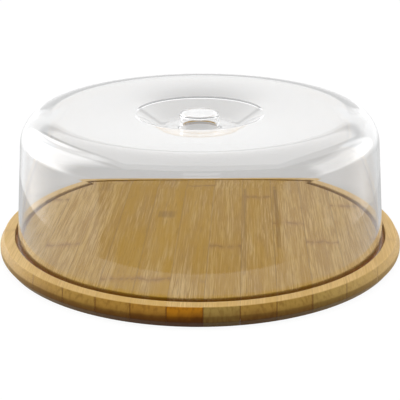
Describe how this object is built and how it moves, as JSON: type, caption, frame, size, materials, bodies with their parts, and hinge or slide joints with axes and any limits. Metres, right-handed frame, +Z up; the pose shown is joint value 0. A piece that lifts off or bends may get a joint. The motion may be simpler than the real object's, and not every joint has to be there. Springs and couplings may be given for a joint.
{
  "type": "cake stand with lift-off dome",
  "caption": "Round bamboo serving board with a ring groove near its edge, and a clear lift-off cover with a finger knob sunk in its top.",
  "frame": {"origin": "middle of the board's underside, on the surface it stands on", "axes": "+Z up through the middle of the knob, +Y along the bamboo's grain towards the back, -Y towards the viewer, +X to the right"},
  "size_m": [0.35, 0.35, 0.1235],
  "materials": {
    "bamboo_pale": "oiled satin bamboo, pale strip",
    "bamboo_honey": "oiled satin bamboo, honey strip",
    "bamboo_toasted": "oiled satin bamboo, darker strip",
    "clear_plastic": "polished clear moulding"
  },
  "bodies": {
    "board": {"board_stave_01": "bamboo_pale", "board_stave_02": "bamboo_honey", "board_stave_03": "bamboo_pale", "board_stave_04": "bamboo_honey", "board_stave_05": "bamboo_honey", "board_stave_06": "bamboo_toasted", "board_stave_07": "bamboo_honey", "board_stave_08": "bamboo_pale", "board_stave_09": "bamboo_toasted", "board_stave_10": "bamboo_pale", "board_stave_11": "bamboo_honey", "board_stave_12": "bamboo_pale", "board_stave_13": "bamboo_honey"},
    "cover": {"dome": "clear_plastic"}
  },
  "joints": [
    {"name": "cover_lift", "type": "slide", "parent": "board", "child": "cover", "axis": [0, 0, 1], "range_m": [0, 0.15]}
  ]
}
